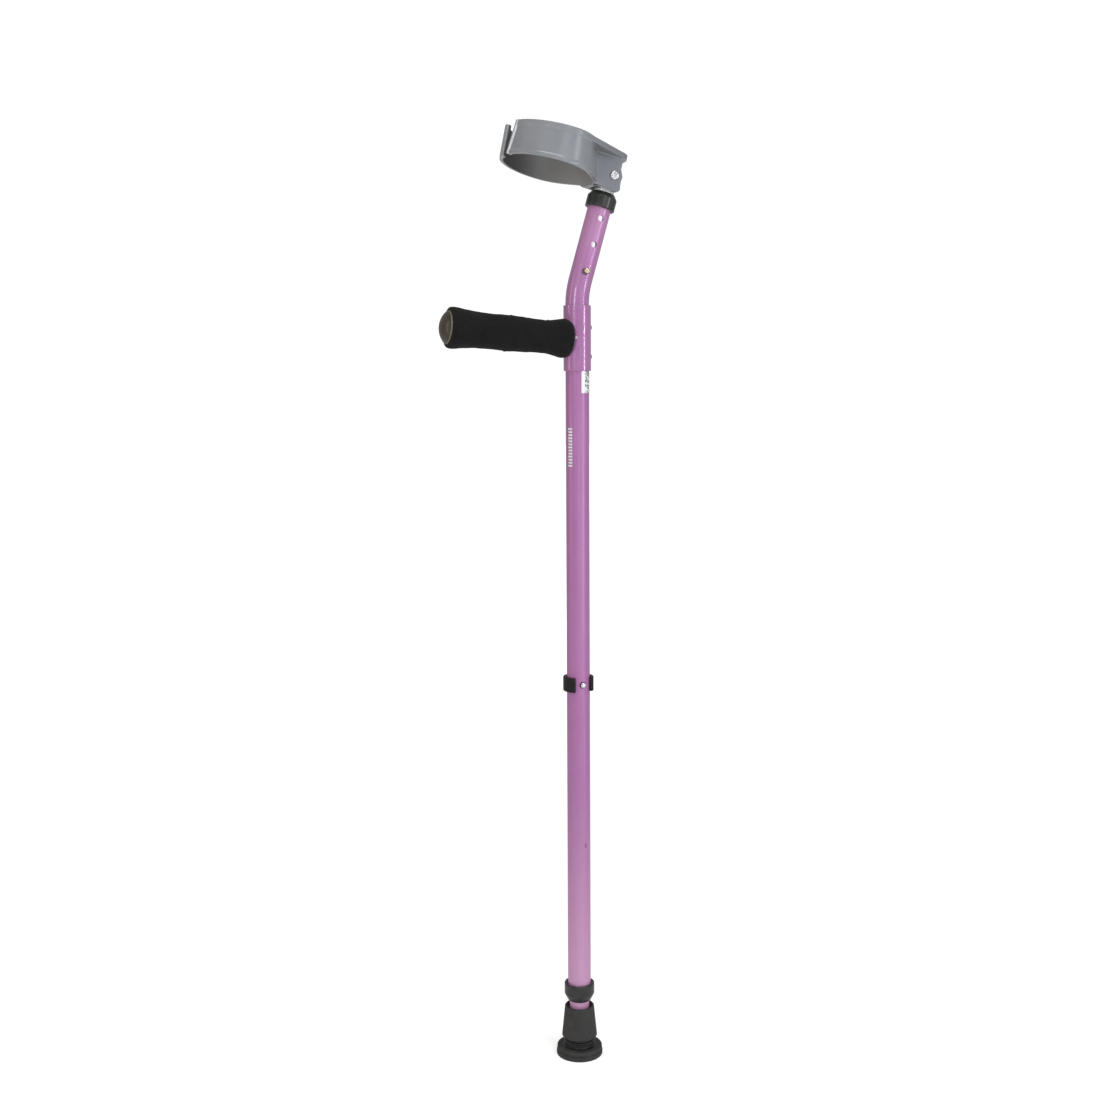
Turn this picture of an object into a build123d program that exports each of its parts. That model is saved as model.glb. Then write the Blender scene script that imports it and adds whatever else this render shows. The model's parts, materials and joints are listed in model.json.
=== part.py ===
from build123d import *
import os
from math import cos, radians, sin, tan

# Height-adjustable forearm crutch.  Millimetres, +Z up, origin at the centre of the ferrule's
# sole.  The hand grip points along -X, the upper tube leans towards +X, and the holes, the snap
# button and the lock pin's tip face -Y.

os.makedirs("parts", exist_ok=True)

# ---------------------------------------------------------------- driving dimensions
tube_od = 22.225  # 7/8 inch outer tube
inner_od = 19.05  # 3/4 inch inner tubes
tube_wall = 1.245
hole_pitch = 25.4
running_gap = 0.06  # radial clearance of sliding and turning fits
hole_gap = 0.1  # radial clearance of the pin and the button in their holes

main_bottom = 60.0
corner_z = 737.3  # where the upper tube's axis meets the main axis
bend_radius = 82.0
tilt = 16.3  # lean of the upper tube, degrees
main_end = 93.9  # lengths along the upper tube are counted from that corner

sole_radius = 22.3
flange_radius = 21.8
flange_top = 8.9
neck_radius = 13.8
cone_low_radius = 17.05
cone_low = 18.5
cone_top_radius = 14.1
ferrule_top = 48.3
ferrule_mouth = 11.9  # radius of the socket's flared mouth
socket_floor = 14.5
washer_thickness = 1.5

pin_z = 366.6
pin_radius = 2.7
pin_window = 0.6  # radial clearance of the pin in the outer tube
leg_steps = 6  # pitches of height adjustment
leg_overrun = 20.0  # of the inner tube past its highest hole
bush_bore = 6.5
leg_bush_head = 5.0
leg_bush_depth = 12.0
clip_height = 13.8
clip_outer_radius = 14.65
clip_opening = 92.0  # degrees
clip_turn = 4.0  # of the opening's middle from -Y towards +X

collar_radius = 14.0
lower_collar_radius = 14.5
lower_collar_low = 54.3
lower_collar_taper = 6.4
lower_collar_top = 71.4
upper_collar_low = 81.1
upper_collar_taper = 4.4
upper_collar_mouth = 11.0  # outer radius at the top
upper_collar_top = 96.3

sleeve_low = 664.2
sleeve_top = 725.4
sleeve_radius = 12.95
rivet_heights = (677.4, 704.8)
rivet_radius = 1.6
rivet_head_radius = 3.0
rivet_head_height = 1.9

handle_z = 693.4
handle_rise = 4.8  # degrees above level
handle_end = 127.0
grip_start = 8.5
grip_end = 127.2
grip_inner_end_radius = 15.5
grip_outer_end_radius = 19.2
cap_radius = 15.3
cap_dome = 6.6

label_top = 664.0
label_height = 20.4
label_thickness = 0.15

button_at = 20.5  # lowest of the three height holes
post_low = 13.0
pivot_at = 112.2
post_top = 119.4
post_travel_steps = 2
button_radius = 2.8
button_tip = 12.5  # distance of the dome's top from the tube's axis

cuff_drop = 3.5  # the cuff's plane is this many degrees front-down from square to the post
cuff_at = 104.4  # where the cuff's lower plane meets the post's axis
ring_middle = 60.0  # from the post's axis forward to the ring's widest place
ring_front = 44.0  # from there to the front
ring_rear_low = 14.0  # from the post's axis to the ring's rear wall at the lower rim
ring_lean = 6.5  # how much further forward that wall is at the upper rim
cuff_width = 99.0
cuff_wall = 3.2
cuff_height = 30.8
rim_slope = 1.9  # how much more the lower rim leans back than the upper one, degrees
mouth_low = 8.6  # half width of the V-shaped mouth at the lower rim
mouth_top = 14.8
lip_radius = 2.9  # rolled edges of the mouth
cheek_inner = 10.1
cheek_outer = 15.3
cheek_rear = 8.8
cheek_drop = 14.5  # from the pivot down to the cheeks' lower edge
slot_front = 12.3
slot_head = 13.0  # from the pivot up to the slot's closed end
lower_rim = 3.2
upper_rim = 5.2
lower_bead = 0.6  # how far each rim stands proud of the ring
upper_bead = 1.0
flange_rear = 11.6  # from the post's axis to the flange's rear edge
flange_rear_half = 16.0
bracket_top = 19.0  # from the pivot up to the flange's inside
bracket_front = 26.0
cut_margin = 30.0  # how far cuts run past the piece
screw_radius = 2.5
screw_head_radius = 4.2
screw_head_height = 2.2
nut_flats = 8.0
nut_recess = 2.7
nut_height = 5.0
bush_radius = 3.9

# ---------------------------------------------------------------- derived places
tube_radius = tube_od / 2
tube_inner_radius = tube_radius - tube_wall
inner_radius = inner_od / 2
inner_bore = inner_radius - tube_wall
lean = radians(tilt)
bend_leg = bend_radius * tan(lean / 2)  # from the corner to each end of the bend
bend_start = Vector(0, 0, corner_z - bend_leg)
post_dir = Vector(sin(lean), 0, cos(lean))
rear_dir = Vector(cos(lean), 0, -sin(lean))
post_origin = Vector(0, 0, corner_z)
bend_end = post_origin + post_dir * bend_leg
post_axis = Axis(post_origin, post_dir)
leg_bottom = socket_floor + washer_thickness
leg_top = pin_z + leg_steps * hole_pitch + leg_overrun
rise = radians(handle_rise)
handle_dir = Vector(-cos(rise), 0, sin(rise))
handle_origin = Vector(0, 0, handle_z)
handle_axis = Axis(handle_origin, handle_dir)


def post_plane(along):
    """Plane square to the upper tube, x towards the rear and y across."""
    return Plane(origin=post_origin + post_dir * along, x_dir=rear_dir, z_dir=post_dir)


def post_front(along, out=0.0):
    """Plane on the upper tube's axis, facing -Y, its y along the tube."""
    centre = post_origin + post_dir * along + Vector(0, -out, 0)
    return Plane(origin=centre, x_dir=rear_dir, z_dir=(0, -1, 0))


def front_plane(height, out=0.0):
    """Plane on the main axis at a height, facing -Y."""
    return Plane(origin=(0, -out, height), x_dir=(1, 0, 0), z_dir=(0, -1, 0))


handle_section = Plane(origin=handle_origin, x_dir=handle_dir, z_dir=(0, 1, 0))
post_section = Plane(origin=post_origin, x_dir=rear_dir, z_dir=(0, -1, 0))


# ---------------------------------------------------------------- rubber ferrule
with BuildPart() as ferrule:
    with BuildSketch(Plane.XZ):
        with BuildLine():
            FilletPolyline(
                (0, 0),
                (sole_radius, 0),
                (sole_radius, 4.0),
                (flange_radius - 0.7, 4.6),
                (flange_radius, 5.2),
                (flange_radius, flange_top),
                (neck_radius + 0.4, flange_top + 0.5),
                (neck_radius, cone_low - 5.2),
                (neck_radius + 1.6, cone_low - 4.4),
                (neck_radius + 1.6, cone_low - 3.2),
                (neck_radius + 0.5, cone_low - 2.4),
                (neck_radius + 0.5, cone_low - 1.2),
                (cone_low_radius, cone_low),
                (cone_top_radius, ferrule_top),
                (ferrule_mouth, ferrule_top),
                (ferrule_mouth - 0.5, ferrule_top - 2.4),
                (inner_radius, ferrule_top - 4.5),
                (inner_radius, socket_floor),
                (0, socket_floor),
                radius=(0, 0.8, 0.5, 0.2, 0.4, 1.4, 1.0, 0.5, 0.5, 0.5, 0.4, 0.4, 0.5)
                + (1.0, 0.8, 0.8, 0.5, 0, 0),
                close=True,
            )
        make_face()
    revolve(axis=Axis.Z)
    with BuildSketch(Plane.XY):
        for ring_radius in (19.0, 14.0, 9.0):
            Circle(ring_radius)
            Circle(ring_radius - 1.6, mode=Mode.SUBTRACT)
    extrude(amount=1.4, mode=Mode.SUBTRACT)
ferrule.part.label = "ferrule"
export_step(ferrule.part, "parts/ferrule.step")

with BuildPart() as ferrule_washer:
    with BuildSketch(Plane.XY.offset(socket_floor)):
        Circle(inner_radius - 0.1)
        Circle(3.0, mode=Mode.SUBTRACT)
    extrude(amount=washer_thickness)
ferrule_washer.part.label = "ferrule_washer"
export_step(ferrule_washer.part, "parts/ferrule_washer.step")

# ---------------------------------------------------------------- leg tube
with BuildPart() as leg_tube:
    with BuildSketch(Plane.XY.offset(leg_bottom)):
        Circle(inner_radius)
        Circle(inner_bore, mode=Mode.SUBTRACT)
    extrude(amount=leg_top - leg_bottom)
    with BuildSketch(front_plane(pin_z, -inner_od)):
        with Locations(*[(0, step * hole_pitch) for step in range(leg_steps + 1)]):
            Circle(pin_radius + hole_gap)
    extrude(amount=2 * inner_od, mode=Mode.SUBTRACT)
leg_tube.part.label = "leg_tube"
export_step(leg_tube.part, "parts/leg_tube.step")

with BuildPart() as leg_bush:
    with BuildSketch(Plane.XY.offset(leg_top)):
        Circle(tube_inner_radius - running_gap)
        Circle(bush_bore, mode=Mode.SUBTRACT)
    extrude(amount=leg_bush_head)
    chamfer(leg_bush.edges().filter_by(GeomType.CIRCLE).group_by(Axis.Z)[-1].sort_by(SortBy.RADIUS)[-1], 1)
    with BuildSketch(Plane.XY.offset(leg_top)):
        Circle(inner_bore)
        Circle(bush_bore, mode=Mode.SUBTRACT)
    extrude(amount=-leg_bush_depth)
leg_bush.part.label = "leg_bush"
export_step(leg_bush.part, "parts/leg_bush.step")

# ---------------------------------------------------------------- bent main tube
with BuildPart() as main_tube:
    with BuildLine():
        Line((0, 0, main_bottom), bend_start)
        TangentArc(bend_start, bend_end, tangent=(0, 0, 1))
        Line(bend_end, post_origin + post_dir * main_end)
    with BuildSketch(Plane.XY.offset(main_bottom)):
        Circle(tube_radius)
        Circle(tube_inner_radius, mode=Mode.SUBTRACT)
    sweep()
    with BuildSketch(front_plane(pin_z, -tube_od)):
        Circle(pin_radius + pin_window)
    extrude(amount=2 * tube_od, mode=Mode.SUBTRACT)
    for step in range(post_travel_steps + 1):
        with BuildSketch(post_front(button_at + step * hole_pitch)):
            Circle(button_radius + hole_gap)
        extrude(amount=tube_od, mode=Mode.SUBTRACT)
    for rivet_height in rivet_heights:
        with BuildSketch(Plane(origin=(0, 0, rivet_height), x_dir=(0, 1, 0), z_dir=(1, 0, 0))):
            Circle(rivet_radius)
        extrude(amount=tube_od, mode=Mode.SUBTRACT)
main_tube.part.label = "main_tube"
export_step(main_tube.part, "parts/main_tube.step")

# ---------------------------------------------------------------- collars
with BuildPart() as lower_collar:
    with BuildSketch(Plane.XZ):
        with BuildLine():
            FilletPolyline(
                (inner_radius + running_gap, lower_collar_low),
                (11.1, lower_collar_low),
                (lower_collar_radius, lower_collar_low + lower_collar_taper),
                (lower_collar_radius, lower_collar_top),
                (tube_radius + 1.4, lower_collar_top),
                (tube_radius, lower_collar_top - 1.2),
                (tube_radius, main_bottom),
                (inner_radius + running_gap, main_bottom),
                radius=(0, 0.5, 2.5, 1.2, 0.5, 0.3, 0, 0),
                close=True,
            )
        make_face()
    revolve(axis=Axis.Z)
lower_collar.part.label = "lower_collar"
export_step(lower_collar.part, "parts/lower_collar.step")

with BuildPart() as upper_collar:
    with BuildSketch(post_section):
        with BuildLine():
            FilletPolyline(
                (tube_radius, upper_collar_low),
                (collar_radius, upper_collar_low),
                (collar_radius, upper_collar_top - upper_collar_taper),
                (upper_collar_mouth, upper_collar_top),
                (inner_radius + running_gap, upper_collar_top),
                (inner_radius + running_gap, main_end),
                (tube_radius, main_end),
                radius=(0, 0.9, 1.5, 0.3, 0, 0, 0),
                close=True,
            )
        make_face()
    revolve(axis=post_axis)
upper_collar.part.label = "upper_collar"
export_step(upper_collar.part, "parts/upper_collar.step")

# ---------------------------------------------------------------- spring clip and lock pin
clip_inner_radius = tube_radius + running_gap
clip_middle_radius = (clip_inner_radius + clip_outer_radius) / 2
clip_line = CenterArc((0, 0), clip_middle_radius, -90 + clip_turn + clip_opening / 2, 360 - clip_opening)
with BuildPart() as locking_clip:
    with BuildSketch(Plane.XY.offset(pin_z - clip_height / 2)):
        SlotArc(clip_line, clip_outer_radius - clip_inner_radius)
    extrude(amount=clip_height)
    rims = locking_clip.faces().filter_by(Axis.Z).edges()
    fillet(rims, 0.7)
    with BuildSketch(front_plane(pin_z, -clip_outer_radius + 1.0)):
        Circle(pin_radius)
    extrude(amount=clip_outer_radius, mode=Mode.SUBTRACT)
locking_clip.part.label = "locking_clip"
export_step(locking_clip.part, "parts/locking_clip.step")

pin_length = clip_outer_radius - 1.0 + tube_radius + 2.3
with BuildPart() as clip_pin:
    with BuildSketch(front_plane(pin_z, -clip_outer_radius + 1.0)):
        Circle(pin_radius)
    extrude(amount=pin_length)
    fillet(clip_pin.edges().filter_by(GeomType.CIRCLE).sort_by(Axis.Y)[0], 1.5)
clip_pin.part.label = "clip_pin"
export_step(clip_pin.part, "parts/clip_pin.step")

# ---------------------------------------------------------------- handle saddle, bar and rivets
with BuildPart() as handle_sleeve:
    with BuildSketch(Plane.XY.offset(sleeve_low)):
        Circle(sleeve_radius)
        Circle(tube_radius, mode=Mode.SUBTRACT)
    extrude(amount=sleeve_top - sleeve_low)
    outer_rims = handle_sleeve.edges().filter_by(GeomType.CIRCLE).sort_by(SortBy.RADIUS)[-2:]
    fillet(outer_rims, 0.5)
    for rivet_height in rivet_heights:
        with BuildSketch(Plane(origin=(0, 0, rivet_height), x_dir=(0, 1, 0), z_dir=(1, 0, 0))):
            Circle(rivet_radius)
        extrude(amount=2 * sleeve_radius, mode=Mode.SUBTRACT)
handle_sleeve.part.label = "handle_sleeve"
export_step(handle_sleeve.part, "parts/handle_sleeve.step")

with BuildPart() as sleeve_rivets:
    for rivet_height in rivet_heights:
        with BuildSketch(Plane(origin=(0, 0, rivet_height), x_dir=(1, 0, 0), z_dir=(0, -1, 0))):
            with BuildLine():
                Polyline(
                    (sleeve_radius + rivet_head_height, 0),
                    (tube_inner_radius - 1.0, 0),
                    (tube_inner_radius - 1.0, 2.4),
                    (tube_inner_radius - 0.35, 2.4),
                    (tube_inner_radius - 0.35, rivet_radius),
                    (sleeve_radius, rivet_radius),
                    (sleeve_radius, rivet_head_radius),
                )
                RadiusArc(
                    (sleeve_radius, rivet_head_radius),
                    (sleeve_radius + rivet_head_height, 0),
                    (rivet_head_radius**2 + rivet_head_height**2) / (2 * rivet_head_height),
                )
            make_face()
        revolve(axis=Axis((0, 0, rivet_height), (1, 0, 0)))
sleeve_rivets.part.label = "sleeve_rivets"
export_step(sleeve_rivets.part, "parts/sleeve_rivets.step")

with BuildPart() as handle_tube:
    with BuildSketch(Plane(origin=handle_origin, x_dir=(0, 1, 0), z_dir=handle_dir)):
        Circle(inner_radius)
        Circle(inner_bore, mode=Mode.SUBTRACT)
    extrude(amount=handle_end)
    with BuildSketch(Plane.XY.offset(sleeve_low)):
        Circle(sleeve_radius)
    extrude(amount=sleeve_top - sleeve_low, mode=Mode.SUBTRACT)
handle_tube.part.label = "handle_tube"
export_step(handle_tube.part, "parts/handle_tube.step")

with BuildPart() as hand_grip:
    with BuildSketch(handle_section):
        with BuildLine():
            Polyline(
                (grip_start, grip_inner_end_radius),
                (grip_start, inner_radius),
                (grip_end, inner_radius),
                (grip_end, cap_radius + 1.2),
            )
            ThreePointArc(
                (grip_end, cap_radius + 1.2),
                (grip_end - 0.9, grip_outer_end_radius - 0.6),
                (grip_end - 3.4, grip_outer_end_radius),
            )
            Spline(
                (grip_end - 3.4, grip_outer_end_radius),
                (113, 18.0),
                (104, 17.0),
                (88, 16.45),
                (68, 16.8),
                (46, 15.85),
                (33, 15.6),
                (25.5, 16.5),
                (grip_start + 7, grip_inner_end_radius + 2.9),
                tangents=((-1, 0), (-1, 0)),
            )
            ThreePointArc(
                (grip_start + 7, grip_inner_end_radius + 2.9),
                (grip_start + 1.9, grip_inner_end_radius + 1.9),
                (grip_start, grip_inner_end_radius),
            )
        make_face()
    revolve(axis=handle_axis)
    with BuildSketch(Plane.XY.offset(sleeve_low)):
        Circle(sleeve_radius + 0.1)
    extrude(amount=sleeve_top - sleeve_low, mode=Mode.SUBTRACT)
hand_grip.part.label = "hand_grip"
export_step(hand_grip.part, "parts/hand_grip.step")

dome_radius = (cap_radius**2 + cap_dome**2) / (2 * cap_dome)
with BuildPart() as grip_end_cap:
    with BuildSketch(handle_section):
        with BuildLine():
            Polyline(
                (grip_end + 1.0 + cap_dome, 0),
                (handle_end - 14, 0),
                (handle_end - 14, inner_bore - 0.6),
                (handle_end - 12.5, inner_bore),
                (handle_end, inner_bore),
                (handle_end, inner_radius - 0.05),
                (grip_end, inner_radius - 0.05),
                (grip_end, cap_radius),
                (grip_end + 1.0, cap_radius),
            )
            RadiusArc((grip_end + 1.0, cap_radius), (grip_end + 1.0 + cap_dome, 0), dome_radius)
        make_face()
    revolve(axis=handle_axis)
grip_end_cap.part.label = "grip_end_cap"
export_step(grip_end_cap.part, "parts/grip_end_cap.step")

# ---------------------------------------------------------------- paper label below the saddle
with BuildPart() as size_label:
    with BuildSketch(Plane.XY.offset(label_top - label_height)):
        with BuildLine():
            outer_arc = CenterArc((0, 0), tube_radius + label_thickness, -92, 84)
            inner_arc = CenterArc((0, 0), tube_radius, -92, 84)
            Line(outer_arc @ 0, inner_arc @ 0)
            Line(outer_arc @ 1, inner_arc @ 1)
        make_face()
    extrude(amount=label_height)
size_label.part.label = "size_label"
export_step(size_label.part, "parts/size_label.step")

# ---------------------------------------------------------------- cuff post
with BuildPart() as cuff_tube:
    with BuildSketch(post_plane(post_low)):
        Circle(inner_radius)
        Circle(inner_bore, mode=Mode.SUBTRACT)
    extrude(amount=post_top - post_low)
    with BuildSketch(post_front(button_at)):
        Circle(button_radius + hole_gap)
    extrude(amount=inner_od, mode=Mode.SUBTRACT)
    with BuildSketch(post_front(pivot_at, -inner_od)):
        Circle(bush_radius + running_gap)
    extrude(amount=2 * inner_od, mode=Mode.SUBTRACT)
cuff_tube.part.label = "cuff_tube"
export_step(cuff_tube.part, "parts/cuff_tube.step")

with BuildPart() as post_plug:
    with BuildSketch(post_plane(post_top)):
        Circle(inner_radius - 0.2)
    extrude(amount=1.2, taper=35)
    with BuildSketch(post_plane(post_top)):
        Circle(inner_bore)
    extrude(amount=-2.5)
post_plug.part.label = "post_plug"
export_step(post_plug.part, "parts/post_plug.step")

leaf_thickness = 0.5
leaf_reach = 6.6  # from the post's axis to the outer face of each leaf
leaf_bend = post_low + 36
leaf_width = 6.0
leaf_centre = leaf_reach - leaf_thickness / 2
with BuildPart() as button_spring:
    with BuildSketch(Plane(origin=post_origin, x_dir=(0, -1, 0), z_dir=-rear_dir).offset(-leaf_width / 2)):
        with BuildLine():
            Line((leaf_centre, button_at - 5), (leaf_centre, leaf_bend))
            CenterArc((0, leaf_bend), leaf_centre, 0, 180)
            Line((-leaf_centre, leaf_bend), (-leaf_centre, button_at - 3))
        trace(line_width=leaf_thickness)
    extrude(amount=leaf_width)
button_spring.part.label = "button_spring"
export_step(button_spring.part, "parts/button_spring.step")

with BuildPart() as snap_button:
    with BuildSketch(post_front(button_at, leaf_reach)):
        Circle(3.4)
    extrude(amount=0.5)
    with BuildSketch(post_front(button_at, leaf_reach)):
        Circle(button_radius)
    extrude(amount=button_tip - leaf_reach)
    fillet(snap_button.edges().filter_by(GeomType.CIRCLE).sort_by(Axis.Y)[0], 1.7)
snap_button.part.label = "snap_button"
export_step(snap_button.part, "parts/snap_button.step")

# ---------------------------------------------------------------- moulded arm cuff
band_tilt = radians(tilt - cuff_drop)
cuff_rear = Vector(cos(band_tilt), 0, -sin(band_tilt))
cuff_up = Vector(sin(band_tilt), 0, cos(band_tilt))
cuff_origin = post_origin + post_dir * cuff_at
pivot_point = post_origin + post_dir * pivot_at
flange_low = cuff_height - upper_rim


def cuff_plane(height):
    """Plane of the cuff at a height above its lower rim, x to the rear and y across."""
    slope = radians(rim_slope) * (cuff_height - height) / cuff_height
    drop = (ring_middle + ring_front) * tan(slope)
    x_dir = cuff_rear * cos(slope) - cuff_up * sin(slope)
    z_dir = cuff_up * cos(slope) + cuff_rear * sin(slope)
    return Plane(origin=cuff_origin + cuff_up * (height - drop), x_dir=x_dir, z_dir=z_dir)


def pivot_plane(out):
    """Plane square to the pivot, facing -Y."""
    return Plane(origin=pivot_point + Vector(0, -out, 0), x_dir=cuff_rear, z_dir=(0, -1, 0))


def ring_outline(height, proud):
    """Egg-shaped outline of the ring: round in front, and drawn in towards the post behind."""
    half = cuff_width / 2 + proud
    front = ring_middle + ring_front + proud
    rear = ring_middle - ring_rear_low - ring_lean * height / cuff_height + proud
    with BuildLine() as outline:
        EllipticalCenterArc((-ring_middle, 0), front - ring_middle, half, start_angle=90, arc_size=180)
        for side in (-1, 1):
            Spline(
                (-ring_middle, side * half),
                (-ring_middle + 0.46 * rear, side * 0.885 * half),
                (-ring_middle + 0.83 * rear, side * 0.50 * half),
                (-ring_middle + rear, 0),
                tangents=((1, 0), (0, -side)),
            )
    return outline.line


def lip_point(across, height):
    """Point in the middle of the ring's wall at the front, at a distance across."""
    reach = ring_front - cuff_wall / 2
    half = cuff_width / 2 - cuff_wall / 2
    forward = ring_middle + reach * (1 - (across / half) ** 2) ** 0.5
    return cuff_plane(height).from_local_coords(Vector(-forward, across, 0))


with BuildPart() as arm_cuff:
    # ring with a thicker rolled rim at the bottom and at the top
    for low, high, proud in (
        (0, lower_rim, lower_bead),
        (lower_rim, flange_low, 0),
        (flange_low, cuff_height, upper_bead),
    ):
        for height in (low, high):
            with BuildSketch(cuff_plane(height)):
                make_face(ring_outline(height, proud).edges())
        loft()
    # top flange that runs back over the bracket
    with BuildSketch(cuff_plane(flange_low)):
        with BuildLine():
            FilletPolyline(
                (-47, -44),
                (-42.5, -45),
                (flange_rear - 4.0, -flange_rear_half),
                (flange_rear, -flange_rear_half + 5),
                (flange_rear, flange_rear_half - 5),
                (flange_rear - 4.0, flange_rear_half),
                (-42.5, 45),
                (-47, 44),
                radius=(0, 0, 4, 4, 4, 4, 0, 0),
                close=True,
            )
        make_face()
    extrude(amount=upper_rim)
    # the two cheeks and the web between them
    with BuildSketch(pivot_plane(cheek_outer)):
        with BuildLine():
            FilletPolyline(
                (-20.5, -11.8),
                (-17.0, -12.6),
                (-9.5, -12.7),
                (-2.0, -14.0),
                (6.3, -cheek_drop),
                (cheek_rear, -cheek_drop + 2.4),
                (cheek_rear - 0.8, -5),
                (cheek_rear, 0.5),
                (cheek_rear - 2.8, 7.0),
                (cheek_rear - 2.8, 13.0),
                (cheek_rear + 0.6, 15.5),
                (cheek_rear + 0.6, bracket_top),
                (-bracket_front, bracket_top),
                (-bracket_front, -5.0),
                radius=(1.5, 2, 2, 3, 1.5, 1.5, 3, 3.5, 3, 1.5, 1.0, 0, 0, 0),
                close=True,
            )
        make_face()
    extrude(amount=-2 * cheek_outer)
    # hollow for the forearm, open at the top and the bottom
    for height in (-cuff_height, 2 * cuff_height):
        with BuildSketch(cuff_plane(height)):
            make_face(ring_outline(height, -cuff_wall).edges())
    loft(mode=Mode.SUBTRACT)
    # slot for the post, open to the rear and below
    with BuildSketch(pivot_plane(cheek_inner)):
        with BuildLine():
            Polyline(
                (-slot_front, -cut_margin),
                (cut_margin, -cut_margin),
                (cut_margin, slot_head),
                (-slot_front, slot_head),
                close=True,
            )
        make_face()
    extrude(amount=-2 * cheek_inner, mode=Mode.SUBTRACT)
    # V-shaped mouth at the front, with rolled edges
    with BuildSketch(Plane(origin=cuff_origin - cuff_rear * ring_middle, x_dir=(0, 1, 0), z_dir=cuff_rear)):
        with BuildLine():
            Polyline(
                (-mouth_low, -3),
                (mouth_low, -3),
                (mouth_top, cuff_height + 1),
                (-mouth_top, cuff_height + 1),
                close=True,
            )
        make_face()
    extrude(amount=-ring_middle, mode=Mode.SUBTRACT)
    for side in (-1, 1):
        lip_low = lip_point(side * mouth_low, 0)
        lip_high = lip_point(side * mouth_top, cuff_height)
        with BuildSketch(Plane(origin=lip_low, z_dir=lip_high - lip_low)):
            Circle(lip_radius)
        extrude(amount=(lip_high - lip_low).length)
    with BuildSketch(pivot_plane(-cheek_outer)):
        Circle(screw_radius)
    extrude(amount=2 * cheek_outer, mode=Mode.SUBTRACT)
    with BuildSketch(pivot_plane(-cheek_outer)):
        RegularPolygon(nut_flats / 2, 6, major_radius=False)
    extrude(amount=nut_recess, mode=Mode.SUBTRACT)
arm_cuff.part.label = "arm_cuff"
export_step(arm_cuff.part, "parts/arm_cuff.step")

# ---------------------------------------------------------------- pivot hardware
with BuildPart() as pivot_bush:
    with BuildSketch(pivot_plane(cheek_inner)):
        Circle(bush_radius)
        Circle(screw_radius, mode=Mode.SUBTRACT)
    extrude(amount=-2 * cheek_inner)
pivot_bush.part.label = "pivot_bush"
export_step(pivot_bush.part, "parts/pivot_bush.step")

with BuildPart() as pivot_screw:
    with BuildSketch(pivot_plane(cheek_outer)):
        Circle(screw_radius)
    extrude(amount=-2 * cheek_outer + nut_recess - nut_height)
    with BuildSketch(pivot_plane(cheek_outer)):
        Circle(screw_head_radius)
    extrude(amount=screw_head_height)
    fillet(pivot_screw.edges().filter_by(GeomType.CIRCLE).sort_by(Axis.Y)[0], 1.2)
    with BuildSketch(pivot_plane(cheek_outer + screw_head_height)):
        Rectangle(4.4, 1.0, rotation=25)
        Rectangle(1.0, 4.4, rotation=25)
    extrude(amount=-1.3, mode=Mode.SUBTRACT)
pivot_screw.part.label = "pivot_screw"
export_step(pivot_screw.part, "parts/pivot_screw.step")

with BuildPart() as pivot_nut:
    with BuildSketch(pivot_plane(-cheek_outer + nut_recess)):
        RegularPolygon(nut_flats / 2, 6, major_radius=False)
    extrude(amount=-nut_height + 1.2)
    with BuildSketch(pivot_plane(-cheek_outer + nut_recess - nut_height + 1.2)):
        Circle(nut_flats / 2 - 0.3)
    extrude(amount=-1.2)
    with BuildSketch(pivot_plane(-cheek_outer + nut_recess)):
        Circle(screw_radius)
    extrude(amount=-nut_height, mode=Mode.SUBTRACT)
pivot_nut.part.label = "pivot_nut"
export_step(pivot_nut.part, "parts/pivot_nut.step")
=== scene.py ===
import json
import math
import bmesh
import bpy
from mathutils import Matrix, Vector, noise


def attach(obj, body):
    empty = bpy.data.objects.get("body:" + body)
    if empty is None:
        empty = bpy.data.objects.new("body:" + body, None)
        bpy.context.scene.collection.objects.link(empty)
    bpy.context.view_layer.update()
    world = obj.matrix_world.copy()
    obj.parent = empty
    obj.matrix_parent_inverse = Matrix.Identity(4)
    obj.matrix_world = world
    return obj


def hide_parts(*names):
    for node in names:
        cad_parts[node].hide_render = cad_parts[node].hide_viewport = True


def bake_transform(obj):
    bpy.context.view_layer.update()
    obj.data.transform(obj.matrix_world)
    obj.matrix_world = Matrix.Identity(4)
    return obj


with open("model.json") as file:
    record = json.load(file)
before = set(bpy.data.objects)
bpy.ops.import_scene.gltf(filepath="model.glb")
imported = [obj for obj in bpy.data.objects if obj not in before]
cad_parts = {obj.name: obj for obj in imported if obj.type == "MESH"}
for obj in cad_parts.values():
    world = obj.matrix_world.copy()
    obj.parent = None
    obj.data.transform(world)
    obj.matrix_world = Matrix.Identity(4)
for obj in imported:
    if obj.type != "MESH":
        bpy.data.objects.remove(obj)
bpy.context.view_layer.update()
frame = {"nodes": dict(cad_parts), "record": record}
nodes = frame["nodes"]

MM = 0.001
CUFF_CENTRE = (-0.0258, 0, 0.8658)
HANDLE_Z = 0.6934
HANDLE_RISE = math.radians(4.8)
HANDLE_OUT = Vector((-math.cos(HANDLE_RISE), 0, math.sin(HANDLE_RISE)))
HANDLE_UP = Vector((math.sin(HANDLE_RISE), 0, math.cos(HANDLE_RISE)))


# ---------------------------------------------------------------- node helpers
def put(tree, socket, value):
    """Gives an input its value: another node's output, a number, a vector or a colour."""
    if isinstance(value, bpy.types.NodeSocket):
        tree.links.new(value, socket)
    elif socket.type == "RGBA":
        socket.default_value = (*value, 1)
    else:
        socket.default_value = value


def add_node(tree, kind, inputs=(), **settings):
    """A node with its settings; inputs are (name or number of the input, value)."""
    node = tree.nodes.new(kind)
    for setting, value in settings.items():
        setattr(node, setting, value)
    for key, value in inputs:
        put(tree, node.inputs[key], value)
    return node


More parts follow.
